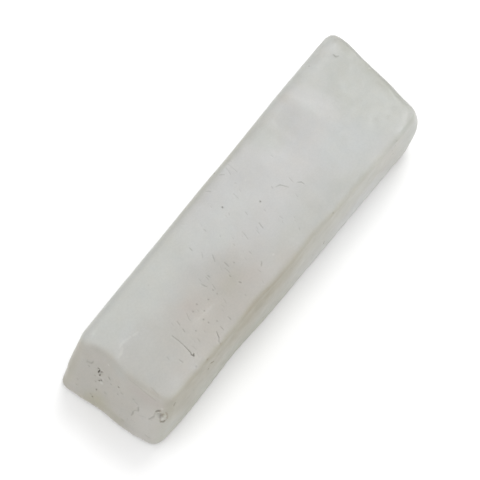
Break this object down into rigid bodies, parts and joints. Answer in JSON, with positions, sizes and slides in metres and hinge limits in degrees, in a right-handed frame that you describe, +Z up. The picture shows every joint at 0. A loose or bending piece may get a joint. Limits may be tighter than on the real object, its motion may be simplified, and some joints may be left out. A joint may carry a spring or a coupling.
{
  "type": "rose quartz point",
  "caption": "Tumbled rose quartz point: a milky, worn crystal bar with a slanting blunt end, lying on its broad flat face.",
  "frame": {"origin": "middle of the object's box in X and Y, at the height of the face it lies on", "axes": "+X along the length towards the end with the slanted facet, +Y across the width towards the left side, +Z up"},
  "size_m": [0.072, 0.0218, 0.0136],
  "materials": {
    "quartz": "milky, tumbled to a soft satin polish"
  },
  "bodies": {
    "root": {"quartz_point": "quartz"}
  },
  "joints": []
}
